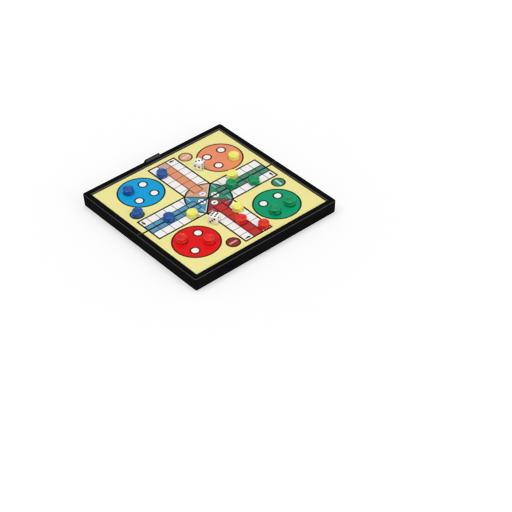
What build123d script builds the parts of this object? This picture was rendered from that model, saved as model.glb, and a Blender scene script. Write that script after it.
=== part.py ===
from build123d import *
import math
import os

# A folding travel ludo board that is also its own case. Two shallow moulded trays are hinged along one
# long edge with their rims facing down, so that their printed steel faces make one square board. Folded
# by half a turn, rim meets rim, the two hollows become the box for the pieces, and a clasp on the far
# tray swings over the split and hooks behind a nub on the near tray.
#
# Design frame, in millimetres: +Z up from the table, +X along the fold, +Y from the near tray (red and
# green homes) to the far tray (blue and orange homes). The files are written with the origin moved to
# the middle of the open board's footprint, the clasp included.

# Trays
BOARD = 213.4              # side of the open square board, measured over the frames
TRAY_HEIGHT = 16.0         # one tray, from its rim to the top of its frame
WALL = 2.0                 # side walls
DRAFT_DEG = 3.0            # the outer walls lean in towards the rim, to leave the mould
CORNER_R = 3.0             # outer corners, seen from above
FOLD_CORNER_R = 1.2        # corners at the fold
EDGE_R = 0.8               # rounded top edge of the frame
FOLD_GAP = 0.3             # between the two fold walls when the board lies open
RIM_GAP = 0.1              # between the two rims when the box is shut
DECK = 1.6                 # moulded plate under the steel

# Playing faces
FRAME_W = 8.7              # frame round the square that the two printed sheets make
SHEET_INSET = 0.8          # plastic left between each sheet and the fold
SHEET_PLAY = 0.1           # round each sheet in its recess
PRINT_T = 0.2              # printed film
STEEL_T = 0.4              # steel plate that holds the magnets
FRAME_RISE = 1.5           # frame top above the printed face
BEVEL_DEG = 45.0           # lean of the frame's inner edge, from upright

# Hinge
KNUCKLE_R = 1.6            # the barrels also carry the open board on the table
KNUCKLE_W = 10.0
KNUCKLE_SIDE_GAP = 0.3
KNUCKLES = 3               # in each of the two hinges, the outer ones on the near tray
HINGE_INSET = 36.7         # middle of each hinge from the board's side
PIN_R = 0.7
PIN_FIT = 0.02             # round the pin in the near tray, which holds it
PIN_RUN = 0.05             # round the pin in the far tray, which turns on it
PIN_SHY = 0.3              # each end of the pin stops short of the barrel's end
BARREL_CLEAR = 0.35        # round a barrel where the other tray makes way for it
HINGE_BOSS = 2.0           # extra wall behind each hinge
HINGE_BOSS_H = 6.0

# Corner posts with a peg or a socket, which line the trays up and keep the open board level
POST_R = 4.2
POST_INSET = 5.0           # centre of a post from the rim's outer faces
PEG_R = 1.5
PEG_TIP = 0.4              # chamfer
SOCKET_PLAY = 0.3
SOCKET_DEPTH = 2.2

# Clasp, as it hangs when it is latched
CLASP_W = 21.0
CLASP_SIDE_GAP = 0.6       # each side of the clasp in its seat
CLASP_PROUD = 3.2          # outer face of the clasp beyond the frame
CLASP_T = 3.4              # from its inner face to its outer face
CLASP_TOP_R = 0.8
PIVOT_IN = 0.2             # pivot inside the frame's outer face
PIVOT_DROP = 2.1           # pivot below the frame's top
BARREL_R = 1.9             # clasp's own barrel
SEAT_CLEAR = 0.35          # round the clasp in its seat
SEAT_WALL = 1.8            # plastic behind the seat
SEAT_FACE_IN = 0.9         # the wall under the seat is set back to here
CLASP_PIN_R = 0.8
CLASP_PIN_BITE = 2.5       # how far the pin goes into the tray each side
CLASP_OVERLAP = 1.4        # body of the clasp past the split
TONGUE_OVERLAP = 3.4       # its middle tongue past the split
TONGUE_W = 6.4
TONGUE_RELIEF = 0.8        # tongue's inner face, set back to pass the nub
HOOK_T = 1.0
HOOK_GAP = 0.35            # between the hook and the near tray's wall when latched
NUB_T = 1.2
NUB_GAP = 0.2              # between the nub and the hook, and between the nub and the tongue
NUB_SIDE_GAP = 0.4         # each side of the nub in the clasp's relief
RIB_PITCH = 1.7            # grip ribs on the clasp, between shallow grooves
RIB_GROOVE = 0.6
RIB_DEPTH = 0.35
RIBS = 3

# Ludo pattern, which the pieces stand on. It grows and shrinks with the sheets.
PATTERN_SIDE = 196.0       # side of the printed square that the pattern's sizes are given for
LANE_W = 39.4              # three columns
LANE_END = 90.4            # end of a lane from the middle of the board
CELL = 12.24               # length of one cell along a lane
HOME_NEAR = (-62.1, -52.0)     # red home circle; the others follow by turning it
HOME_SIDE = (52.2, -61.2)      # green home circle
HOME_DOT = 11.4            # each white dot from the middle of its home circle, both ways
START_DISC = (-81.2, 31.5)     # blue starting disc

# Counters
COUNTER_D = 13.5
COUNTER_H = 6.5
COUNTER_FLAT_COUNT = 22    # flats that stand for the round side, since there are sixteen counters
FOOT_H = 2.3               # lower ridge
GROOVE_DEPTH = 0.6         # vee groove between the foot and the cap
GROOVE_H = 1.2
CAP_STEP = 0.2             # the cap is this much narrower than the foot, all round
CAP_CHAMFER = 0.5
LIP_W = 1.3                # flat lip round the dish
DISH_SLOPE_W = 0.4
DISH_DEPTH = 0.6
MAGNET_R = 3.5
MAGNET_H = 2.0
MAGNET_FLAT_COUNT = 8
MAGNET_PLAY = 0.05
MAGNET_SHY = 0.2           # the magnet stays clear of the board

# Dice
DIE = 11.0
DIE_BEVEL = 0.8
PIP_R = 1.15
PIP_FLAT_COUNT = 8
PIP_DEPTH = 0.3
PIP_STEP = 2.8             # pips from the middle of a face
DIE_YAW = 21.5
OPPOSITE_SUM = 7           # pips of two opposite faces

OVERCUT = 1.0              # how far a cut runs on past the surface it starts from

# Worked out from the sizes above
AXIS_Z = KNUCKLE_R
RIM_Z = AXIS_Z + RIM_GAP / 2
TOP_Z = RIM_Z + TRAY_HEIGHT
PRINT_Z = TOP_Z - FRAME_RISE
FILM_Z = PRINT_Z - PRINT_T
DECK_Z = FILM_Z - STEEL_T
HOLLOW_Z = DECK_Z - DECK
HALF = BOARD / 2
SHEET = HALF - FRAME_W
PATTERN_SCALE = 2 * SHEET / PATTERN_SIDE
HINGE_X = HALF - HINGE_INSET
LEAN = math.tan(math.radians(DRAFT_DEG))
RIM_HALF = HALF - TRAY_HEIGHT * LEAN
POST_AT = RIM_HALF - POST_INSET
PIVOT_Y = HALF - PIVOT_IN
PIVOT_Z = TOP_Z - PIVOT_DROP
CLASP_OUT = HALF + CLASP_PROUD
CLASP_IN = CLASP_OUT - CLASP_T
TONGUE_IN = CLASP_IN + TONGUE_RELIEF
TONGUE_Z = AXIS_Z - TONGUE_OVERLAP
HOOK_IN = HALF - (TRAY_HEIGHT - TONGUE_OVERLAP) * LEAN + HOOK_GAP
SEAT_HALF = CLASP_W / 2 + CLASP_SIDE_GAP
SEAT_IN = PIVOT_Y - BARREL_R - SEAT_CLEAR
SEAT_Z = PIVOT_Z - BARREL_R - SEAT_CLEAR


def clasp_rest_angle():
    """How far the clasp leans out, in degrees, with the tip of its hook on the table."""
    reach_in, reach_down = HOOK_IN - PIVOT_Y, PIVOT_Z - TONGUE_Z
    tip = math.hypot(reach_in, reach_down)
    return math.degrees(math.acos(PIVOT_Z / tip) - math.atan2(reach_in, reach_down))


CLASP_REST_DEG = clasp_rest_angle()


def block(x, y, z):
    """A box from (low, high) pairs."""
    size = [high - low for low, high in (x, y, z)]
    centre = [(high + low) / 2 for low, high in (x, y, z)]
    return Pos(*centre) * Box(*size)


def rod(radius, x_low, x_high, y, z):
    """A round bar along X."""
    return Pos((x_low + x_high) / 2, y, z) * Rot(0, 90, 0) * Cylinder(radius, x_high - x_low)


def leaning_block(z_low, z_high, inset, y_fold):
    """The far side's space inside the leaning outer walls, less an inset, between two heights."""
    side = 2 * (HALF - (TOP_Z - z_high) * LEAN - inset)
    lid = Pos(0, 0, z_high) * RectangleRounded(side, side, CORNER_R - inset)
    whole = extrude(lid, amount=z_high - z_low, dir=(0, 0, -1), taper=DRAFT_DEG)
    return whole & block((-HALF, HALF), (y_fold, HALF), (z_low, z_high))


def tray_shell():
    """A tray without hinge, pegs or clasp: frame, deck, walls and hollow, on the far side of the fold."""
    shell = leaning_block(RIM_Z, TOP_Z, 0, FOLD_GAP / 2)
    upright = shell.edges().filter_by(lambda e: e.center().Y < FOLD_GAP and e.length > TRAY_HEIGHT / 2)
    shell = fillet(upright.filter_by(lambda e: abs(e.center().X) > HALF / 2), FOLD_CORNER_R)
    outer = shell.edges().filter_by(lambda e: e.center().Z > TOP_Z - EDGE_R / 4)
    shell = fillet(outer.filter_by(lambda e: e.center().Y > FOLD_GAP), EDGE_R)
    hollow = leaning_block(RIM_Z, HOLLOW_Z, WALL, FOLD_GAP / 2 + WALL)
    opening = SHEET + SHEET_PLAY
    deck = block((-opening, opening), (SHEET_INSET - SHEET_PLAY, opening), (DECK_Z, TOP_Z))
    sill = extrude(Pos(0, 0, PRINT_Z) * Rectangle(2 * opening, 2 * opening), FRAME_RISE, taper=-BEVEL_DEG)
    return shell - hollow - deck - sill


def knuckle_spans(hinge_x, mine):
    """The (low, high) X of a hinge's barrels: those of the near tray, or those of the far one."""
    pitch = KNUCKLE_W + KNUCKLE_SIDE_GAP
    first = hinge_x - (KNUCKLES - 1) / 2 * pitch
    middles = [first + i * pitch for i in range(KNUCKLES) if (i % 2 == 0) == mine]
    return [(m - KNUCKLE_W / 2, m + KNUCKLE_W / 2) for m in middles]


def hinge_length():
    return KNUCKLES * KNUCKLE_W + (KNUCKLES - 1) * KNUCKLE_SIDE_GAP


def with_hinges(tray, near):
    """Adds a tray's own barrels, makes way for the other tray's, and bores both for the pins."""
    boss_half = hinge_length() / 2 + HINGE_BOSS
    inner = FOLD_GAP / 2 + WALL
    for x in (-HINGE_X, HINGE_X):
        boss_y = (inner - WALL / 2, inner + HINGE_BOSS)
        tray += block((x - boss_half, x + boss_half), boss_y, (RIM_Z, RIM_Z + HINGE_BOSS_H))
        for low, high in knuckle_spans(x, not near):
            side = KNUCKLE_SIDE_GAP
            tray -= rod(KNUCKLE_R + BARREL_CLEAR, low - side, high + side, 0, AXIS_Z)
        for low, high in knuckle_spans(x, near):
            tray += rod(KNUCKLE_R, low, high, 0, AXIS_Z)
        bore = PIN_R + (PIN_FIT if near else PIN_RUN)
        tray -= rod(bore, x - boss_half, x + boss_half, 0, AXIS_Z)
    return tray


def with_posts(tray, peg_side):
    """Adds the two corner posts, with a peg on one side and a socket on the other."""
    for side in (-1, 1):
        x = side * POST_AT
        post = Pos(x, POST_AT, (RIM_Z + HOLLOW_Z) / 2) * Cylinder(POST_R, HOLLOW_Z - RIM_Z)
        post += block(sorted((x, side * HALF)), (POST_AT, HALF), (RIM_Z, HOLLOW_Z))
        tray += post & leaning_block(RIM_Z, HOLLOW_Z, WALL / 2, FOLD_GAP)
        if side == peg_side:
            peg = Pos(x, POST_AT, RIM_Z / 2) * Cylinder(PEG_R, RIM_Z)
            tray += chamfer(peg.edges().group_by(Axis.Z)[0], PEG_TIP)
        else:
            tray -= Pos(x, POST_AT, RIM_Z + SOCKET_DEPTH / 2) * Cylinder(PEG_R + SOCKET_PLAY, SOCKET_DEPTH)
    return tray


def far_tray():
    tray = with_hinges(with_posts(tray_shell(), peg_side=1), near=False)
    housing = (SEAT_IN - SEAT_WALL, HALF - WALL)
    cheek = SEAT_HALF + CLASP_PIN_BITE + SEAT_WALL / 2
    tray += block((-cheek, cheek), housing, (SEAT_Z - SEAT_WALL, DECK_Z - DECK / 2))
    beyond = HALF + CLASP_PROUD
    tray -= block((-SEAT_HALF, SEAT_HALF), (SEAT_IN, beyond), (SEAT_Z, TOP_Z + OVERCUT))
    below = (RIM_Z - OVERCUT, SEAT_Z + OVERCUT)
    tray -= block((-SEAT_HALF, SEAT_HALF), (HALF - SEAT_FACE_IN, beyond), below)
    bite = SEAT_HALF + CLASP_PIN_BITE
    return tray - rod(CLASP_PIN_R + PIN_FIT, -bite, bite, PIVOT_Y, PIVOT_Z)


def near_tray():
    tray = with_posts(tray_shell(), peg_side=1)
    nub_high = AXIS_Z + TONGUE_OVERLAP - HOOK_T - NUB_GAP
    nub_out = TONGUE_IN - NUB_GAP
    nub_side = TONGUE_W / 2 - NUB_SIDE_GAP
    nub = block((-nub_side, nub_side), (RIM_HALF - WALL / 2, nub_out), (nub_high - NUB_T, nub_high))
    outer = nub.edges().filter_by(Axis.X).filter_by(lambda e: e.center().Y > nub_out - NUB_T / 4)
    tray += fillet(outer, NUB_T / 3)
    # turned half way round, not mirrored, so that each peg meets a socket when the box is shut
    return Rot(0, 0, 180) * with_hinges(tray, near=True)


def sheet(z_low, z_high, near):
    """A printed film or a steel plate."""
    low, high = SHEET_INSET, SHEET
    span = (-high, -low) if near else (low, high)
    return block((-SHEET, SHEET), span, (z_low, z_high))


def clasp_latched():
    """The clasp as it hangs against the wall, hooked."""
    top = PIVOT_Z + BARREL_R
    body_z = AXIS_Z - CLASP_OVERLAP
    width = (-CLASP_W / 2, CLASP_W / 2)
    plate = block(width, (CLASP_IN, CLASP_OUT), (body_z, top))
    outer = plate.edges().filter_by(Axis.X).filter_by(lambda e: e.center().Y > CLASP_OUT - CLASP_TOP_R / 4)
    plate = fillet(outer, CLASP_TOP_R)
    head = block(width, (PIVOT_Y, CLASP_IN + CLASP_T / 2), (PIVOT_Z, top))
    body = plate + head + rod(BARREL_R, *width, PIVOT_Y, PIVOT_Z)
    tongue_x = (-TONGUE_W / 2, TONGUE_W / 2)
    nose = (CLASP_OUT - CLASP_TOP_R, TONGUE_Z)
    tongue = block(tongue_x, (TONGUE_IN, nose[0]), (TONGUE_Z, body_z + CLASP_T))
    relief = block(tongue_x, (CLASP_IN - OVERCUT, TONGUE_IN), (body_z - OVERCUT, AXIS_Z + NUB_T))
    hook = block(tongue_x, (HOOK_IN, nose[0]), (TONGUE_Z, TONGUE_Z + HOOK_T))
    body = body - relief + tongue + hook
    for i in range(RIBS):
        z = body_z + RIB_PITCH * (i + 1)
        body -= block(width, (CLASP_OUT - RIB_DEPTH, CLASP_OUT + OVERCUT), (z, z + RIB_GROOVE))
    return body - rod(CLASP_PIN_R + PIN_RUN, *width, PIVOT_Y, PIVOT_Z)


def clasp():
    """The clasp leaning out, with its hook's tip on the table."""
    pivot = Pos(0, PIVOT_Y, PIVOT_Z)
    return pivot * Rot(CLASP_REST_DEG, 0, 0) * pivot.inverse() * clasp_latched()


def flatted(radius, flats, height, draw_in=0.0):
    """An upright prism with many flats, on z = 0, which draws in by so much over its height."""
    widest = RegularPolygon(max(radius, radius - draw_in), flats, major_radius=False)
    prism = extrude(widest, height, taper=math.degrees(math.atan2(abs(draw_in), height)))
    return prism if draw_in >= 0 else Pos(0, 0, height) * Rot(180, 0, 0) * prism


def counter():
    """A counter standing on z = 0, without its magnet: foot, vee groove, cap and dished top."""
    foot_r = COUNTER_D / 2
    groove_r = foot_r - GROOVE_DEPTH
    cap_r = foot_r - CAP_STEP
    body, z = None, 0.0
    levels = [
        (foot_r, FOOT_H, 0.0),
        (foot_r, GROOVE_H / 2, GROOVE_DEPTH),
        (groove_r, GROOVE_H / 2, groove_r - cap_r),
        (cap_r, COUNTER_H - FOOT_H - GROOVE_H - CAP_CHAMFER, 0.0),
        (cap_r, CAP_CHAMFER, CAP_CHAMFER),
    ]
    for radius, height, draw_in in levels:
        ring = Pos(0, 0, z) * flatted(radius, COUNTER_FLAT_COUNT, height, draw_in)
        body = body + ring if body else ring
        z += height
    dish_r = cap_r - CAP_CHAMFER - LIP_W - DISH_SLOPE_W
    body -= Pos(0, 0, z - DISH_DEPTH) * flatted(dish_r, COUNTER_FLAT_COUNT, DISH_DEPTH, -DISH_SLOPE_W)
    return body - flatted(MAGNET_R + MAGNET_PLAY, MAGNET_FLAT_COUNT, MAGNET_SHY + MAGNET_H)


def magnet():
    return Pos(0, 0, MAGNET_SHY) * flatted(MAGNET_R, MAGNET_FLAT_COUNT, MAGNET_H)


def pip_places(count):
    """Places of a face's pips, in steps from its middle. The two lies along an edge."""
    diagonal = [(-1, 1), (1, -1)]
    corners = diagonal + [(-1, -1), (1, 1)]
    return {
        1: [(0, 0)],
        2: [(0, -1), (0, 1)],
        3: diagonal + [(0, 0)],
        4: corners,
        5: corners + [(0, 0)],
        6: corners + [(-1, 0), (1, 0)],
    }[count]


def die(top, front, right, six_turned):
    """A die standing on z = 0. Opposite faces add up to seven, and front is -Y."""
    body = Box(DIE, DIE, DIE)
    body = chamfer(body.edges(), DIE_BEVEL)
    faces = [
        (top, Rot(0, 0, 0)),
        (OPPOSITE_SUM - top, Rot(180, 0, 0)),
        (front, Rot(90, 0, 0)),
        (OPPOSITE_SUM - front, Rot(-90, 0, 0)),
        (right, Rot(0, 90, 0)),
        (OPPOSITE_SUM - right, Rot(0, -90, 0)),
    ]
    cup = flatted(PIP_R, PIP_FLAT_COUNT, PIP_DEPTH)
    for count, turn in faces:
        for u, v in pip_places(count):
            if count == 6 and six_turned:
                u, v = v, u
            body -= turn * Pos(u * PIP_STEP, v * PIP_STEP, DIE / 2 - PIP_DEPTH) * cup
    return Pos(0, 0, DIE / 2) * body


def lane_cell(side, column, cell):
    """Middle of a lane's cell: side is the way the lane runs, cell 1 is its outer end."""
    along = LANE_END - CELL * (cell - 0.5)
    across = column * LANE_W / 3
    if side in ("near", "left"):
        along = -along
    return (across, along) if side in ("near", "far") else (along, across)


def home_dot(centre, u, v):
    return (centre[0] + u * HOME_DOT, centre[1] + v * HOME_DOT)


RED_HOME, GREEN_HOME = HOME_NEAR, HOME_SIDE
BLUE_HOME = (-HOME_SIDE[0], -HOME_SIDE[1])
ORANGE_HOME = (-HOME_NEAR[0], -HOME_NEAR[1])

COUNTERS = {
    "blue_1": lane_cell("far", -1, 2),
    "blue_2": home_dot(BLUE_HOME, -1, 1),
    "blue_3": START_DISC,
    "blue_4": lane_cell("left", 0, 3),
    "green_1": lane_cell("right", 0, 5),
    "green_2": lane_cell("right", -1, 3),
    "green_3": home_dot(GREEN_HOME, 1, -1),
    "green_4": home_dot(GREEN_HOME, -1, -1),
    "red_1": home_dot(RED_HOME, -1, 1),
    "red_2": home_dot(RED_HOME, 1, -1),
    "red_3": lane_cell("near", 0, 3),
    "red_4": lane_cell("near", 1, 1),
    "yellow_1": home_dot(ORANGE_HOME, 1, -1),
    "yellow_2": lane_cell("right", 1, 4),
    "yellow_3": (11.4, -40.3),
    "yellow_4": lane_cell("left", -1, 5),
}
DICE = {"die_1": (29.9, 53.7), "die_2": (-23.1, -39.3)}
FACE_COUNTS = {"die_1": (3, 6, 5), "die_2": (6, 2, 4)}     # pips on top, in front and on the right
SIX_TURNED = {"die_1": False, "die_2": True}


def on_print(place):
    """A place of the pattern, on top of the prints."""
    x, y = place
    return Pos(x * PATTERN_SCALE, y * PATTERN_SCALE, PRINT_Z)


def parts():
    """Every piece by name, in the design frame."""
    made = {
        "near_tray": near_tray(),
        "far_tray": far_tray(),
        "clasp": clasp(),
    }
    for name, near in (("near", True), ("far", False)):
        made[name + "_steel"] = sheet(DECK_Z, FILM_Z, near)
        made[name + "_print"] = sheet(FILM_Z, PRINT_Z, near)
    reach = hinge_length() / 2 - PIN_SHY
    for name, x in (("hinge_pin_left", -HINGE_X), ("hinge_pin_right", HINGE_X)):
        made[name] = rod(PIN_R, x - reach, x + reach, 0, AXIS_Z)
    bite = SEAT_HALF + CLASP_PIN_BITE - PIN_SHY
    made["clasp_pin"] = rod(CLASP_PIN_R, -bite, bite, PIVOT_Y, PIVOT_Z)
    piece, core = counter(), magnet()
    for name, place in COUNTERS.items():
        made["counter_" + name] = on_print(place) * piece
        made["magnet_" + name] = on_print(place) * core
    for name, place in DICE.items():
        made[name] = on_print(place) * Rot(0, 0, DIE_YAW) * die(*FACE_COUNTS[name], SIX_TURNED[name])
    return made


def footprint_middle(made):
    """Middle of the open board's footprint, which becomes the origin."""
    boxes = [piece.bounding_box() for piece in made.values()]
    low = [min(getattr(b.min, axis) for b in boxes) for axis in "XY"]
    high = [max(getattr(b.max, axis) for b in boxes) for axis in "XY"]
    return [(a + b) / 2 for a, b in zip(low, high)]


PARTS = parts()
MIDDLE = footprint_middle(PARTS)
os.makedirs("parts", exist_ok=True)
for name, piece in PARTS.items():
    export_step(Pos(-MIDDLE[0], -MIDDLE[1], 0) * piece, f"parts/{name}.step")
print("origin in the design frame", MIDDLE, "clasp rests at", round(CLASP_REST_DEG, 3), "degrees")
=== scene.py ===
import math

import bmesh
import bpy
from mathutils import Matrix, Vector


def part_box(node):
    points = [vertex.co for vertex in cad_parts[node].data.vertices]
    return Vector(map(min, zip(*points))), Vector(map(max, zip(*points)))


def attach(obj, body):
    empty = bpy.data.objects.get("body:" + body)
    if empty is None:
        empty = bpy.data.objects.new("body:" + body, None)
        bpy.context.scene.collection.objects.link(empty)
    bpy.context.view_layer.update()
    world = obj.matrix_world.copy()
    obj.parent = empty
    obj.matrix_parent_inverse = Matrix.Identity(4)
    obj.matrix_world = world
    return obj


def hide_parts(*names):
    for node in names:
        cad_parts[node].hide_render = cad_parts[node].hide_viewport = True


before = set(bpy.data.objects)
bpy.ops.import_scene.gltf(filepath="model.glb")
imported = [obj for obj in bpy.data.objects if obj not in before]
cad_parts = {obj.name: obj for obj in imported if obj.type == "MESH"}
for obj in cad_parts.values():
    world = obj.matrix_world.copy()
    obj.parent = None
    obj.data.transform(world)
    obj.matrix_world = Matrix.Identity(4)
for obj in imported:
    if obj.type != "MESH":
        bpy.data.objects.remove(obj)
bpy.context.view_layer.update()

# A folding ludo board that is its own box, open on a white floor. The CAD's films, counters and dice are
# replaced by finer ones; its trays, steel, pins, clasp and magnets keep their meshes and get materials.
#
# Sizes are in millimetres unless a comment says metres, and become metres where a mesh is made.
MM = 0.001

# Camera, on the open board as it is seen from in front of its near left corner
AZIMUTH_DEG = -39.705
ELEVATION_DEG = 39.81
ROLL_DEG = -1.765
DISTANCE = 1776.0
TARGET = (-28.451, -123.459, 16.15)
LENS = 110.65
SENSOR = 36.0
CLIP = (0.05, 50.0)        # metres

# Studio, in metres, watts and levels of light
SKY_BANDS = [(0.14, 1.0), (0.34, 0.3), (0.86, 0.3), (0.96, 2.9)]   # (height of a direction, level)
KEY_LAMP = ((-0.9, 0.3, 1.6), 0.6, 5)      # (place, side, watts), aimed at the board's middle
FILL_LAMP = ((0.4, -1.6, 0.9), 1.0, 7)
FLOOR_SIDE = 12.0
FLOOR_GREY = 0.52
FLOOR_GLOW = 0.32          # the floor's own light, which softens the shadow on it

# Printed faces, from the middle of the board. The pattern is one quarter drawn four times.
FOLD_MARGIN = 0.8          # from the fold to the edge of each sheet
HALF_SHIFT = 1.1           # how far each half's pattern is moved away from the fold
FOLD_LINE = 0.4            # black along each sheet's edge at the fold
INK_STEP = 0.01            # each layer of ink over the one before
LINE = 2.1                 # bold outlines
COLUMN_LINE = 1.6
FINE_LINE = 1.0

# Lanes of three columns, and the round goal where they meet
LANE_HALF = 19.5           # half the width of a lane
LANE_END = 89.9
COLUMN_HALF = LANE_HALF / 3
CELL = 12.2
CELLS = 6
COLUMN_IN = 17.0           # where a coloured column ends, inside the middle square
RED_COLUMN_IN = 14.5
CENTRE_R = 27.6
GOAL_AT = 10.0             # a small round mark in each quarter of the goal
GOAL_R = 4.1
GOAL_RING = 0.5
LOZENGE = (5.6, 2.2)       # width and height, on the mark
SEAM = 1.3                 # pale line beside one diagonal
BAR_END = 0.9              # pale bars run to this share of the way to the square's corner
ARROW_AT = (12.8, 85.9)
ARROW = (8.2, 4.0)         # length, and the head's width
ARROW_HEAD = 0.55          # the head's share of the length
ARROW_SHAFT = 1.8

# Orange home circle with its four dots, and start disc; the other three follow by quarter turns
HOME = (61.8, 52.2)
HOME_R = 28.3
HOME_OUTLINE = 2.0
DOT_STEP = 11.2
DOT_R = 4.4
DOT_RING_R = 6.3
START = (31.4, 81.4)
START_R = 9.0
START_OUTLINE = 1.7
START_BAR = (11.0, 2.8)    # plain pale bar across the disc

# Sides of the outlines that stand for round ones
HOME_SIDES = 128
START_SIDES = 72
DOT_SIDES = 48
GOAL_SIDES = 40
QUARTER_SIDES = 24         # along a quarter of the goal, or what its column leaves of it

# Counters, as turned in the CAD, with the small radii that a mould leaves
FOOT_H = 2.3
GROOVE_DEPTH = 0.6
GROOVE_H = 1.2
CAP_STEP = 0.2
CAP_R = 0.5
CAP_STEPS = 6
LIP_W = 1.3
DISH_SLOPE_W = 0.4
DISH_DEPTH = 0.6
SOFT = 0.18                # the width that the mould's corners take
TURNED_SIDES = 96
COUNTER_SHARP_DEG = 35

# Dice
DIE_ROUND = 1.5
DIE_ROUND_STEPS = 6
DIE_YAW_DEG = 21.5
DIE_SHARP_DEG = 40
OPPOSITE_SUM = 7           # pips of two opposite faces
PIP_R = 1.3
PIP_SINK = 0.35
PIP_STEP = 2.8
PIP_SIDES = (32, 24)       # of the ball that cuts a pip
SIX_APART = 0.86           # the six's two rows, in steps from its middle
SIX_ALONG = 1.12           # and its step along a row
DICE = {                   # pips on top, in front and at the right, and the counts that lie a quarter turned
    "die_1": ((3, 6, 5), ()),
    "die_2": ((6, 2, 4), (6,)),
}

# Painted highlights on the case's edges and bevels, put into its base colour. A pair gives where the painted
# highlight starts and where it is full.
EDGE_R = 0.3               # small radius of the mould's edges, in their shading
EDGE_SAMPLES = 8
EDGE_LIKENESS = (0.98, 0.86)   # cosine of the angle between the rounded and the flat normal
SLOPE_UP = math.sqrt(0.5)  # how far the normal of a 45 degree bevel points up
SLOPE_OFF = (0.25, 0.12)   # how far a normal is from that
SLOPE_RISE = (0.4, 1.1)    # height over the print where the painted highlight on a bevel starts and where it is full; the foot of the frame's inner bevel lies in shade and gets none

# Noise, from 0 to 1, mostly keeps between these
NOISE_SPAN = (0.3, 0.7)
MOTTLE_SPAN = (0.35, 0.65)
NOISE_ROUGHNESS = 0.55

FAR_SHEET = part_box("far_print")
NEAR_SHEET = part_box("near_print")
FOLD_Y = (FAR_SHEET[0].y + NEAR_SHEET[1].y) / 2 / MM
SHEET = FAR_SHEET[1].x / MM
PRINT_Z = FAR_SHEET[1].z / MM
FILM_Z = FAR_SHEET[0].z / MM

QUARTERS = [("orange", 0), ("blue", 1), ("red", 2), ("green", 3)]   # by quarter turns, from +Y
INKS = {
    "ground": (246, 238, 158),
    "white": (251, 248, 246),
    "cell_line": (150, 142, 148),
    "orange": (242, 148, 106),
    "orange_lane": (230, 154, 118),
    "orange_painted_reflection": (208, 174, 156),
    # paler outer cell of the orange column: a painted reflection on the gloss
    "orange_side": (216, 168, 134),
    "orange_line": (150, 88, 56),
    "orange_edge": (82, 36, 18),
    "orange_start": (224, 172, 142),
    "orange_bar": (246, 208, 184),
    "blue": (8, 164, 222),
    "blue_lane": (94, 158, 192),
    "blue_side": (74, 150, 178),
    "blue_line": (18, 62, 96),
    "blue_edge": (8, 44, 58),
    "blue_start": (60, 130, 180),
    "blue_bar": (196, 226, 238),
    "green": (4, 160, 112),
    "green_lane": (80, 144, 122),
    "green_side": (62, 142, 118),
    "green_line": (12, 60, 46),
    "green_edge": (4, 40, 26),
    "green_start": (64, 132, 104),
    "green_bar": (170, 230, 214),
    "red": (232, 18, 22),
    "red_lane": (198, 54, 50),
    "red_side": (152, 60, 66),
    "red_line": (92, 12, 18),
    "red_edge": (76, 8, 12),
    "red_start": (138, 50, 44),
    "red_bar": (228, 156, 152),
    "black": (18, 16, 12),
    "seam": (228, 226, 206),
    "seam_grey": (74, 86, 86),
}
INK_MOTTLE = 0.955         # the darker end of an ink's mottle, as a share of its colour
COUNTERS = {               # each plastic's two colours
    "blue": [(28, 84, 156), (38, 98, 172)],
    "green": [(0, 146, 92), (2, 160, 104)],
    "red": [(216, 38, 28), (230, 50, 34)],
    "yellow": [(242, 236, 108), (246, 242, 130)],
}
COUNTERS_PER_COLOUR = 4
# painted highlight colour for the case's edges and bevels
CASE_HIGHLIGHT = (92, 92, 90)


# ---------------------------------------------------------------- materials

def linear(red, green, blue):
    """A colour written as it looks on a screen, 0 to 255, as the linear values that shaders take."""
    parts = [c / 255 for c in (red, green, blue)]
    return [c / 12.92 if c <= 0.04045 else ((c + 0.055) / 1.055) ** 2.4 for c in parts] + [1.0]


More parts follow.
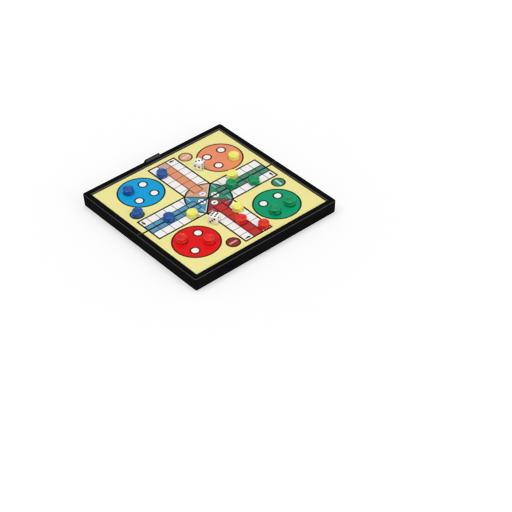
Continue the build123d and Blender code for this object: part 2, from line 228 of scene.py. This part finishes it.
class Nodes:
    """A material's node tree, with short ways to add and join nodes."""

    # sockets of a colour mix, which has others of the same names for its other kinds
    MIX_FACTOR = 0
    MIX_A = 6
    MIX_B = 7
    MIX_RESULT = 2

    def __init__(self, name):
        self.material = bpy.data.materials.new(name)
        self.material.use_nodes = True
        self.tree = self.material.node_tree
        self.shader = self.tree.nodes["Principled BSDF"]

    def add(self, kind, **settings):
        node = self.tree.nodes.new(kind)
        for key, value in settings.items():
            setattr(node, key, value)
        return node

    def join(self, output, node, socket):
        self.tree.links.new(output, node.inputs[socket])

    def set(self, **values):
        """Sets the shader's sockets to constant values."""
        for key, value in values.items():
            self.shader.inputs[key.replace("_", " ")].default_value = value

    def noise(self, scale, detail):
        """Noise in the object's own space; scale is in lumps per metre."""
        place = self.add("ShaderNodeTexCoord")
        noise = self.add("ShaderNodeTexNoise")
        noise.inputs["Scale"].default_value = scale
        noise.inputs["Detail"].default_value = detail
        noise.inputs["Roughness"].default_value = NOISE_ROUGHNESS
        self.join(place.outputs["Object"], noise, "Vector")
        return noise.outputs["Fac"]

    def stretched(self, output, source, target=(0.0, 1.0)):
        """A value mapped from one range to another, and kept inside it."""
        spread = self.add("ShaderNodeMapRange")
        for key, value in zip(("From Min", "From Max", "To Min", "To Max"), (*source, *target)):
            spread.inputs[key].default_value = value
        self.join(output, spread, "Value")
        return spread.outputs["Result"]

    def calculated(self, operation, *terms):
        """The result of an operation on outputs and numbers."""
        node = self.add("ShaderNodeMath", operation=operation)
        for socket, term in zip(node.inputs, terms):
            if isinstance(term, float):
                socket.default_value = term
            else:
                self.tree.links.new(term, socket)
        return node.outputs["Value"]

    def height(self, vector):
        parts = self.add("ShaderNodeSeparateXYZ")
        self.join(vector, parts, "Vector")
        return parts.outputs["Z"]

    def mottled(self, noise, colours):
        """Base colour that drifts between two close colours."""
        ramp = self.add("ShaderNodeValToRGB")
        for end, place, colour in zip(ramp.color_ramp.elements, MOTTLE_SPAN, colours):
            end.position = place
            end.color = linear(*colour)
        self.join(noise, ramp, "Fac")
        self.join(ramp.outputs["Color"], self.shader, "Base Color")

    def uneven(self, socket, noise, limits):
        """Sends noise, stretched between the limits, to one of the shader's sockets."""
        self.join(self.stretched(noise, NOISE_SPAN, limits), self.shader, socket)

    def bump(self, noise, strength, depth):
        self.bumps = self.add("ShaderNodeBump")
        self.bumps.inputs["Strength"].default_value = strength
        self.bumps.inputs["Distance"].default_value = depth * MM
        self.join(noise, self.bumps, "Height")
        self.join(self.bumps.outputs["Normal"], self.shader, "Normal")

    def round_edges_paint_highlights(self, colour):
        """Rounds the shading of sharp edges, under the bumps, and paints highlights on them and on the
        frame's bevels by lightening the base colour.
        """
        rounded = self.add("ShaderNodeBevel", samples=EDGE_SAMPLES)
        rounded.inputs["Radius"].default_value = EDGE_R * MM
        normal = rounded.outputs["Normal"]
        self.join(normal, self.bumps, "Normal")
        # painted highlight: where the base colour is lightened on edges and bevels
        painted_highlight = self.calculated("MAXIMUM", self.edge_highlight_mask(normal), self.slope_highlight_mask(normal))
        base = self.shader.inputs["Base Color"].links[0].from_socket
        mix = self.add("ShaderNodeMix", data_type="RGBA")
        self.join(painted_highlight, mix, self.MIX_FACTOR)
        self.join(base, mix, self.MIX_A)
        mix.inputs[self.MIX_B].default_value = linear(*colour)
        self.join(mix.outputs[self.MIX_RESULT], self.shader, "Base Color")

    def edge_highlight_mask(self, normal):
        """Painted highlight mask: 1 where the rounded normal leaves the face's own."""
        face = self.add("ShaderNodeNewGeometry")
        likeness = self.add("ShaderNodeVectorMath", operation="DOT_PRODUCT")
        self.join(normal, likeness, 0)
        self.join(face.outputs["True Normal"], likeness, 1)
        return self.stretched(likeness.outputs["Value"], EDGE_LIKENESS)

    def slope_highlight_mask(self, normal):
        """Painted highlight mask: 1 on a 45 degree bevel, above its foot, which lies in shade."""
        own = self.add("ShaderNodeVectorTransform", vector_type="NORMAL")
        own.convert_from = "WORLD"
        own.convert_to = "OBJECT"
        self.join(normal, own, "Vector")
        off = self.calculated("SUBTRACT", self.height(own.outputs["Vector"]), SLOPE_UP)
        leaning = self.stretched(self.calculated("ABSOLUTE", off), SLOPE_OFF)
        place = self.add("ShaderNodeTexCoord")
        limits = [(PRINT_Z + rise) * MM for rise in SLOPE_RISE]
        raised = self.stretched(self.height(place.outputs["Object"]), limits)
        return self.calculated("MINIMUM", leaning, raised)


def finish(name, grain, colours, sheen, roughness, **values):
    """A material whose colour and roughness drift with two noises, each as (lumps per metre, detail)."""
    n = Nodes(name)
    n.mottled(n.noise(*grain), colours)
    n.uneven("Roughness", n.noise(*sheen), roughness)
    n.set(**values)
    return n


def case_plastic():
    """Deep black moulded plastic: fine grain, slightly uneven sheen, and painted highlights along its edges
    and bevels.
    """
    n = finish("case_plastic", grain=(60, 4), colours=[(15, 15, 16), (21, 21, 22)],
               sheen=(140, 6), roughness=(0.26, 0.36), Specular_IOR_Level=0.002, IOR=1.49)
    n.bump(n.noise(2600, 2), strength=0.12, depth=0.03)
    n.round_edges_paint_highlights(CASE_HIGHLIGHT)
    return n.material


def ink(name, colour):
    """One colour of the printed film: fine print mottle under a clear gloss."""
    darker = [c * INK_MOTTLE for c in colour]
    n = finish("ink_" + name, grain=(1500, 3), colours=[darker, colour],
               sheen=(35, 3), roughness=(0.16, 0.24), Specular_IOR_Level=0.25, IOR=1.5)
    return n.material


def counter_plastic(name, colours):
    """Glossy plastic that glows where the light goes in."""
    n = finish(name + "_counter_plastic", grain=(180, 3), colours=colours,
               sheen=(260, 4), roughness=(0.14, 0.22), Specular_IOR_Level=0.4, IOR=1.5)
    n.set(Subsurface_Weight=1.0, Subsurface_Radius=(1.0, 1.0, 1.0), Subsurface_Scale=4.0 * MM)
    return n.material


def die_plastic():
    n = finish("die_plastic", grain=(300, 3), colours=[(250, 249, 246), (254, 254, 252)],
               sheen=(260, 4), roughness=(0.18, 0.28), Specular_IOR_Level=0.5, IOR=1.5)
    return n.material


def pip_paint():
    n = finish("pip_paint", grain=(900, 3), colours=[(2, 2, 3), (5, 5, 6)],
               sheen=(900, 3), roughness=(0.4, 0.55), Specular_IOR_Level=0.002)
    return n.material


def bright_steel(name, roughness):
    n = finish(name, grain=(700, 4), colours=[(150, 150, 152), (178, 178, 180)],
               sheen=(900, 4), roughness=roughness, Metallic=1.0)
    return n.material


def ferrite():
    n = finish("ferrite", grain=(1200, 5), colours=[(52, 52, 55), (74, 74, 77)],
               sheen=(1500, 4), roughness=(0.5, 0.7))
    n.bump(n.noise(4000, 2), strength=0.2, depth=0.03)
    return n.material


# ---------------------------------------------------------------- outlines, as lists of (x, y)

def turned(point, quarters):
    x, y = point
    for _ in range(quarters):
        x, y = -y, x
    return (x, y)


def rectangle(x_low, x_high, y_low, y_high):
    return [(x_low, y_low), (x_high, y_low), (x_high, y_high), (x_low, y_high)]


def arc(centre, radius, start_deg, end_deg, steps):
    angles = [math.radians(start_deg + (end_deg - start_deg) * i / steps) for i in range(steps + 1)]
    return [(centre[0] + radius * math.cos(a), centre[1] + radius * math.sin(a)) for a in angles]


def disc(centre, radius, sides):
    return arc(centre, radius, 0, 360, sides)[:-1]


def quarter_disc(radius, sides):
    """A quarter of a disc, about +Y."""
    return [(0, 0)] + arc((0, 0), radius, 45, 135, sides)


def arc_band(centre, inner, outer, start_deg, end_deg, steps):
    """A band along an arc, as a row of four-sided outlines."""
    inside = arc(centre, inner, start_deg, end_deg, steps)
    outside = arc(centre, outer, start_deg, end_deg, steps)
    return [[inside[i], outside[i], outside[i + 1], inside[i + 1]] for i in range(steps)]


def stroke(a, b, width):
    """A straight line of that width from a to b."""
    (ax, ay), (bx, by) = a, b
    length = math.hypot(bx - ax, by - ay)
    nx, ny = (by - ay) / length * width / 2, (ax - bx) / length * width / 2
    return [(ax - nx, ay - ny), (ax + nx, ay + ny), (bx + nx, by + ny), (bx - nx, by - ny)]


def clipped(outline, low, high):
    """The part of a convex outline with low <= y <= high, or nothing."""
    for limit, sign in ((low, 1), (high, -1)):
        kept = []
        for i, here in enumerate(outline):
            before = outline[i - 1]
            is_in = sign * (here[1] - limit) >= 0
            was_in = sign * (before[1] - limit) >= 0
            if is_in != was_in:
                share = (limit - before[1]) / (here[1] - before[1])
                kept.append((before[0] + share * (here[0] - before[0]), limit))
            if is_in:
                kept.append(here)
        outline = kept
        if len(outline) < 3:
            return []
    return outline


# ---------------------------------------------------------------- the printed pattern
#
# Art is a list of (ink, layer, outline); a layer's number is its height over the ground, in steps of ink.

def lane(name):
    """A lane of three columns along +Y, with its quarter of the goal."""
    inner = RED_COLUMN_IN if name == "red" else COLUMN_IN
    art = [
        ("white", 1, rectangle(-LANE_HALF, LANE_HALF, LANE_HALF - LINE, LANE_END)),
        (name + "_side", 2, quarter_disc(CENTRE_R, QUARTER_SIDES)),
        (name + "_lane", 3, rectangle(-COLUMN_HALF, COLUMN_HALF, inner, LANE_END)),
    ]
    # The orange column's outer cell is painted paler, as a painted reflection on the gloss.
    if name == "orange":
        art.append(("orange_painted_reflection", 4, rectangle(-COLUMN_HALF, COLUMN_HALF, LANE_END - CELL, LANE_END)))
    art += cell_lines(name)
    for side in (-1, 1):
        art += lane_side(name, side, inner)
    art.append(("black", 6, stroke((-LANE_HALF, LANE_END), (LANE_HALF, LANE_END), LINE)))
    return art + arrow() + goal_mark(name)


def cell_lines(name):
    art = []
    for i in range(1, CELLS + 1):
        y = LANE_END - CELL * i
        for side in (-1, 1):
            if y > CENTRE_R:
                line = stroke((side * COLUMN_HALF, y), (side * LANE_HALF, y), FINE_LINE)
                art.append(("cell_line", 2, line))
        art.append((name + "_line", 5, stroke((-COLUMN_HALF, y), (COLUMN_HALF, y), FINE_LINE)))
    return art


def lane_side(name, side, inner):
    """The lines on one side of a lane: its column's, its outline, a pale bar and the edge of the goal."""
    column = side * COLUMN_HALF
    edge = side * LANE_HALF
    bar_from = (column + side * LINE, LANE_HALF)
    bar_to = (edge * BAR_END, LANE_HALF)
    column_deg = math.degrees(math.asin(COLUMN_HALF / CENTRE_R))
    start, end = (45, 90 - column_deg) if side > 0 else (90 + column_deg, 135)
    band = arc_band((0, 0), CENTRE_R - LINE / 2, CENTRE_R + LINE / 2, start, end, QUARTER_SIDES)
    art = [
        (name + "_line", 5, stroke((column, inner), (column, LANE_END), COLUMN_LINE)),
        ("black", 6, stroke((edge, LANE_HALF), (edge, LANE_END + LINE / 2), LINE)),
        (name + "_bar", 5, stroke(bar_from, bar_to, FINE_LINE)),
    ]
    return art + [(name + "_edge", 6, outline) for outline in band]


def arrow():
    """A small arrow in the lane's outer corner."""
    x, y = ARROW_AT
    length, width = ARROW
    tip = x - length / 2
    neck = tip + length * ARROW_HEAD
    head = [(tip, y), (neck, y - width / 2), (neck, y + width / 2)]
    shaft = rectangle(neck, x + length / 2, y - ARROW_SHAFT / 2, y + ARROW_SHAFT / 2)
    return [("black", 6, head), ("black", 6, shaft)]


def goal_mark(name):
    centre = (0, GOAL_AT)
    half_w, half_h = LOZENGE[0] / 2, LOZENGE[1] / 2
    lozenge = [(-half_w, GOAL_AT), (0, GOAL_AT - half_h), (half_w, GOAL_AT), (0, GOAL_AT + half_h)]
    ring = arc_band(centre, GOAL_R, GOAL_R + GOAL_RING, 0, 360, GOAL_SIDES)
    art = [(name + "_line", 8, outline) for outline in ring]
    return art + [("white", 8, disc(centre, GOAL_R, GOAL_SIDES)), ("black", 9, lozenge)]


def diagonals():
    """The diagonals of the middle square, one of them with a pale line along it."""
    corner = LANE_HALF
    return [
        ("seam_grey", 7, stroke((-corner, corner), (corner, -corner), LINE)),
        ("seam", 7, stroke((-corner, -corner + SEAM), (corner - SEAM, corner), LINE)),
        ("black", 8, stroke((-corner, -corner), (corner, corner), LINE)),
    ]


def home(name):
    """A home circle with four dots, and a start disc with a plain bar."""
    art = [
        (name + "_edge", 1, disc(HOME, HOME_R + HOME_OUTLINE / 2, HOME_SIDES)),
        (name, 2, disc(HOME, HOME_R - HOME_OUTLINE / 2, HOME_SIDES)),
    ]
    for u in (-1, 1):
        for v in (-1, 1):
            dot = (HOME[0] + u * DOT_STEP, HOME[1] + v * DOT_STEP)
            art.append((name + "_edge", 3, disc(dot, DOT_RING_R, DOT_SIDES)))
            art.append(("white", 4, disc(dot, DOT_R, DOT_SIDES)))
    x, y = START
    half_w, half_h = START_BAR[0] / 2, START_BAR[1] / 2
    art += [
        (name + "_edge", 1, disc(START, START_R, START_SIDES)),
        (name + "_start", 2, disc(START, START_R - START_OUTLINE, START_SIDES)),
        (name + "_bar", 3, rectangle(x - half_w, x + half_w, y - half_h, y + half_h)),
    ]
    return art


def ludo_pattern():
    """The whole printed pattern, centred on the middle of the board."""
    art = []
    for name, quarters in QUARTERS:
        art += quarter_turned(lane(name), quarters)
    art += diagonals()
    for name, quarters in QUARTERS:
        art += quarter_turned(home(name), quarters)
    return art


def quarter_turned(art, quarters):
    return [(name, layer, [turned(point, quarters) for point in outline]) for name, layer, outline in art]


def moved(art, shift):
    """Art moved along y."""
    return [(name, layer, [(x, y + shift) for x, y in outline]) for name, layer, outline in art]


# ---------------------------------------------------------------- meshes

def finished(bm, name, materials):
    """Makes an object of a bmesh."""
    mesh = bpy.data.meshes.new(name)
    bm.normal_update()
    bm.to_mesh(mesh)
    bm.free()
    for material in materials:
        mesh.materials.append(material)
    made = bpy.data.objects.new(name, mesh)
    bpy.context.scene.collection.objects.link(made)
    return made


def smooth(mesh, sharp_deg):
    """Shades a mesh smooth, except over edges sharper than that."""
    for face in mesh.polygons:
        face.use_smooth = True
    mesh.set_sharp_from_angle(angle=math.radians(sharp_deg))


def plate(bm, outline, z_low, z_high, material):
    """A thin closed plate with that outline."""
    turn = sum(a[0] * b[1] - b[0] * a[1] for a, b in zip(outline, outline[1:] + outline[:1]))
    if turn < 0:
        outline = outline[::-1]
    bottom, top = [
        [bm.verts.new((x * MM, (y + FOLD_Y) * MM, z * MM)) for x, y in outline]
        for z in (z_low, z_high)
    ]
    faces = [bm.faces.new(top), bm.faces.new(bottom[::-1])]
    for i in range(len(outline)):
        j = (i + 1) % len(outline)
        faces.append(bm.faces.new([bottom[i], bottom[j], top[j], top[i]]))
    for face in faces:
        face.material_index = material


def printed_film(name, node, body, low, high, inks):
    """One half's film with its inks, in the place of the CAD's film; low and high are its ends in y."""
    art = moved(ludo_pattern(), math.copysign(HALF_SHIFT, low + high))
    top_layer = max(layer for _, layer, _ in art)
    fold_edge = min(low, high, key=abs)
    art.append(("black", top_layer, stroke((-SHEET, fold_edge), (SHEET, fold_edge), 2 * FOLD_LINE)))
    ground_z = PRINT_Z - top_layer * INK_STEP
    names = list(inks)
    bm = bmesh.new()
    plate(bm, rectangle(-SHEET, SHEET, low, high), FILM_Z, ground_z, names.index("ground"))
    for ink_name, layer, outline in art:
        kept = clipped(outline, low, high)
        if kept:
            plate(bm, kept, ground_z, ground_z + layer * INK_STEP, names.index(ink_name))
    film = finished(bm, name, inks.values())
    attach(film, body)
    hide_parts(node)


def counter_profile(radius, height):
    """(radius, height) points up the side and over the top, from the foot's rim to the dish's floor."""
    half = SOFT / 2
    groove = radius - GROOVE_DEPTH
    groove_lip = groove + SOFT / 4
    groove_z = FOOT_H + GROOVE_H / 2
    cap = radius - CAP_STEP
    cap_z = FOOT_H + GROOVE_H
    dish = cap - CAP_R - LIP_W
    dish_floor = dish - DISH_SLOPE_W
    floor_z = height - DISH_DEPTH
    foot_rim = [(radius - SOFT, 0.0), (radius, SOFT)]
    foot_top = [(radius, FOOT_H - half), (radius - half, FOOT_H + half)]
    groove_side = [(groove_lip, groove_z - half), (groove, groove_z), (groove_lip, groove_z + half)]
    cap_foot = [(cap - half, cap_z - half), (cap, cap_z + half)]
    shoulder = arc((cap - CAP_R, height - CAP_R), CAP_R, 0, 90, CAP_STEPS)
    dish_lip = [(dish + SOFT, height), (dish, height - half)]
    dish_foot = [(dish_floor, floor_z + half), (dish_floor - SOFT, floor_z)]
    return foot_rim + foot_top + groove_side + cap_foot + shoulder + dish_lip + dish_foot


def turned_counter(name, node, body, material):
    """A turned counter in the place of the CAD's many-sided one."""
    low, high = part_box(node)
    centre = (low + high) / 2
    profile = counter_profile((high.x - centre.x) / MM, (high.z - low.z) / MM)
    bm = bmesh.new()
    rings = []
    for radius, z in profile:
        circle = disc((centre.x, centre.y), radius * MM, TURNED_SIDES)
        rings.append([bm.verts.new((x, y, low.z + z * MM)) for x, y in circle])
    for below, above in zip(rings, rings[1:]):
        for i in range(TURNED_SIDES):
            j = (i + 1) % TURNED_SIDES
            bm.faces.new([below[i], below[j], above[j], above[i]])
    bm.faces.new(rings[-1])
    bm.faces.new(rings[0][::-1])
    counter = finished(bm, name, [material])
    smooth(counter.data, COUNTER_SHARP_DEG)
    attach(counter, body)
    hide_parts(node)
    return counter


def pip_places(count):
    """Places of a face's pips, in steps from its middle. The two lies along an edge."""
    diagonal = [(-1, 1), (1, -1)]
    corners = diagonal + [(-1, -1), (1, 1)]
    return {
        1: [(0, 0)],
        2: [(0, -1), (0, 1)],
        3: diagonal + [(0, 0)],
        4: corners,
        5: corners + [(0, 0)],
        6: [(u * SIX_APART, v * SIX_ALONG) for u in (-1, 1) for v in (-1, 0, 1)],
    }[count]


def pip_cutters(name, side, counts, quarter_turned_counts, materials):
    """The balls that cut all the pips of a die of that side, in metres, whose middle is the origin."""
    top, front, right = counts
    faces = [
        (top, 0, "X"),
        (OPPOSITE_SUM - top, 180, "X"),
        (front, 90, "X"),
        (OPPOSITE_SUM - front, -90, "X"),
        (right, 90, "Y"),
        (OPPOSITE_SUM - right, -90, "Y"),
    ]
    radius = (PIP_R**2 + PIP_SINK**2) / (2 * PIP_SINK)
    across, along = PIP_SIDES
    bm = bmesh.new()
    for count, degrees, axis in faces:
        turn = Matrix.Rotation(math.radians(degrees), 4, axis)
        for u, v in pip_places(count):
            if count in quarter_turned_counts:
                u, v = v, u
            place = Vector((u * PIP_STEP * MM, v * PIP_STEP * MM, side / 2 + (radius - PIP_SINK) * MM))
            at = turn @ Matrix.Translation(place)
            bmesh.ops.create_uvsphere(bm, u_segments=across, v_segments=along, radius=radius * MM, matrix=at)
    for face in bm.faces:
        face.material_index = 1
    return finished(bm, name, materials)


def rounded_die(name, node, body, materials):
    """A die with rounded edges and sunk pips, in the place of the CAD's bevelled one."""
    low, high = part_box(node)
    side = high.z - low.z
    bm = bmesh.new()
    bmesh.ops.create_cube(bm, size=side)
    bmesh.ops.bevel(bm, geom=bm.edges[:], offset=DIE_ROUND * MM, segments=DIE_ROUND_STEPS, profile=0.5,
                    affect="EDGES")
    die = finished(bm, name, materials)
    balls = pip_cutters(name + "_cutters", side, *DICE[node], materials)
    cut = die.modifiers.new("pips", "BOOLEAN")
    cut.object = balls
    cut.operation = "DIFFERENCE"
    cut.solver = "EXACT"
    depsgraph = bpy.context.evaluated_depsgraph_get()
    cut_mesh = bpy.data.meshes.new_from_object(die.evaluated_get(depsgraph))
    die.modifiers.clear()
    die.data = cut_mesh
    bpy.data.objects.remove(balls)
    yaw = Matrix.Rotation(math.radians(DIE_YAW_DEG), 4, "Z")
    die.data.transform(Matrix.Translation((low + high) / 2) @ yaw)
    smooth(die.data, DIE_SHARP_DEG)
    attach(die, body)
    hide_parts(node)


# ---------------------------------------------------------------- the part

def dress(nodes, material):
    """Gives the objects of CAD nodes a material."""
    for node in nodes:
        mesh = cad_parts[node].data
        if not mesh.materials:
            mesh.materials.append(material)
        for i in range(len(mesh.materials)):
            mesh.materials[i] = material


def dress_case():
    dress(["near_tray", "far_tray", "clasp"], case_plastic())
    dress(["near_steel", "far_steel"], bright_steel("tinned_steel", (0.32, 0.45)))
    dress(["hinge_pin_left", "hinge_pin_right", "clasp_pin"], bright_steel("steel_wire", (0.2, 0.3)))


def make_films():
    inks = {name: ink(name, colour) for name, colour in INKS.items()}
    printed_film("near_film", "near_print", "near", -SHEET, -FOLD_MARGIN, inks)
    printed_film("far_film", "far_print", "far", FOLD_MARGIN, SHEET, inks)


def make_counters():
    magnet = ferrite()
    for colour, tones in COUNTERS.items():
        plastic = counter_plastic(colour, tones)
        for i in range(1, COUNTERS_PER_COLOUR + 1):
            body = f"{colour}_{i}"
            counter = turned_counter("turned_" + body, "counter_" + body, body, plastic)
            dress(["magnet_" + body], magnet)


def make_dice():
    materials = [die_plastic(), pip_paint()]
    for node in DICE:
        rounded_die("rounded_" + node, node, node, materials)


# ---------------------------------------------------------------- camera, light and floor

def make_camera():
    a, e, r = (math.radians(v) for v in (AZIMUTH_DEG, ELEVATION_DEG, ROLL_DEG))
    back = Vector((math.sin(a) * math.cos(e), -math.cos(a) * math.cos(e), math.sin(e)))
    right = Vector((0, 0, 1)).cross(back).normalized()
    up = back.cross(right)
    x_axis = math.cos(r) * right + math.sin(r) * up
    y_axis = -math.sin(r) * right + math.cos(r) * up
    place = (Vector(TARGET) + back * DISTANCE) * MM
    data = bpy.data.cameras.new("camera")
    data.sensor_width = SENSOR
    data.lens = LENS
    data.clip_start, data.clip_end = CLIP
    camera = bpy.data.objects.new("camera", data)
    camera.matrix_world = Matrix.Translation(place) @ Matrix((x_axis, y_axis, back)).transposed().to_4x4()
    bpy.context.scene.collection.objects.link(camera)
    bpy.context.scene.camera = camera


def make_lamp(name, place, side, watts):
    """A square soft lamp, aimed at the origin."""
    data = bpy.data.lights.new(name, "AREA")
    data.shape = "SQUARE"
    data.size = side
    data.energy = watts
    lamp = bpy.data.objects.new(name, data)
    lamp.location = place
    lamp.rotation_mode = "QUATERNION"
    lamp.rotation_quaternion = Vector(place).to_track_quat("Z", "Y")
    bpy.context.scene.collection.objects.link(lamp)


def make_sky():
    """A round studio: pale to just above the horizon, dim higher up, and a bright soft ceiling."""
    world = bpy.data.worlds.new("studio")
    bpy.context.scene.world = world
    world.use_nodes = True
    tree = world.node_tree
    background = tree.nodes["Background"]
    direction = tree.nodes.new("ShaderNodeTexCoord")
    parts = tree.nodes.new("ShaderNodeSeparateXYZ")
    bands = tree.nodes.new("ShaderNodeValToRGB")
    tree.links.new(direction.outputs["Generated"], parts.inputs["Vector"])
    tree.links.new(parts.outputs["Z"], bands.inputs["Fac"])
    tree.links.new(bands.outputs["Color"], background.inputs["Color"])
    stops = bands.color_ramp.elements
    stops[0].position = SKY_BANDS[0][0]
    stops[1].position = SKY_BANDS[-1][0]
    for height, _ in SKY_BANDS[1:-1]:
        stops.new(height)
    for stop, (_, level) in zip(stops, SKY_BANDS):
        stop.color = (level, level, level, 1.0)


def make_floor():
    """A white paper floor, which only catches the shadow, so that it hides nothing folded under it."""
    bpy.ops.mesh.primitive_plane_add(size=FLOOR_SIDE)
    floor = bpy.context.object
    floor.name = "floor"
    floor.is_shadow_catcher = True
    n = Nodes("floor_paper")
    n.set(Base_Color=(FLOOR_GREY, FLOOR_GREY, FLOOR_GREY, 1), Roughness=0.9, Specular_IOR_Level=0.1)
    n.set(Emission_Color=(1, 1, 1, 1), Emission_Strength=FLOOR_GLOW)
    floor.data.materials.append(n.material)


def make_studio():
    bpy.context.scene.view_settings.view_transform = "Standard"
    make_sky()
    make_floor()
    make_lamp("key", *KEY_LAMP)
    make_lamp("fill", *FILL_LAMP)


dress_case()
make_films()
make_counters()
make_dice()
make_camera()
make_studio()
